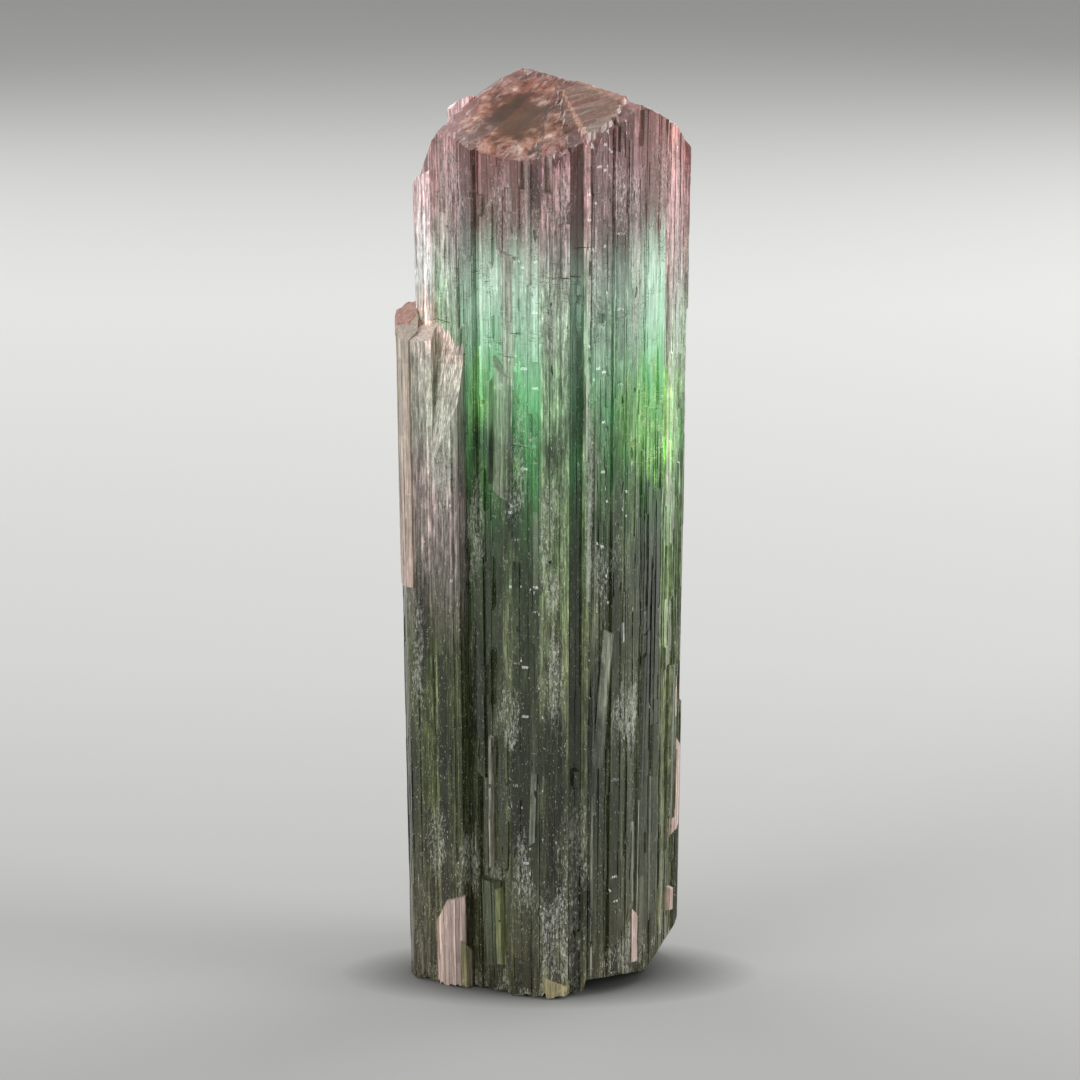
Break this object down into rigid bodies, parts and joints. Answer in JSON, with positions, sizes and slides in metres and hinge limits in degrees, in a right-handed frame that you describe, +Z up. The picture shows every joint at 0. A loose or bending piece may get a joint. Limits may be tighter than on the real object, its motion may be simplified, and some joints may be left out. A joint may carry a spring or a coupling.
{
  "type": "watermelon tourmaline crystal",
  "caption": "Upright watermelon tourmaline crystal, brown-pink at its faceted tip, bright green below and dark olive towards its broken foot, with smaller crystals grown along its side.",
  "frame": {"origin": "on the flat resting face of the foot, under the middle of the crystal", "axes": "+Z up along the crystal towards its tip, +X to the right, and the rounded front edge faces -Y"},
  "size_m": [0.0293, 0.027, 0.0912],
  "materials": {
    "tourmaline": "glassy striated crystal faces, see-through in places"
  },
  "bodies": {
    "root": {"tourmaline_crystal": "tourmaline"}
  },
  "joints": []
}
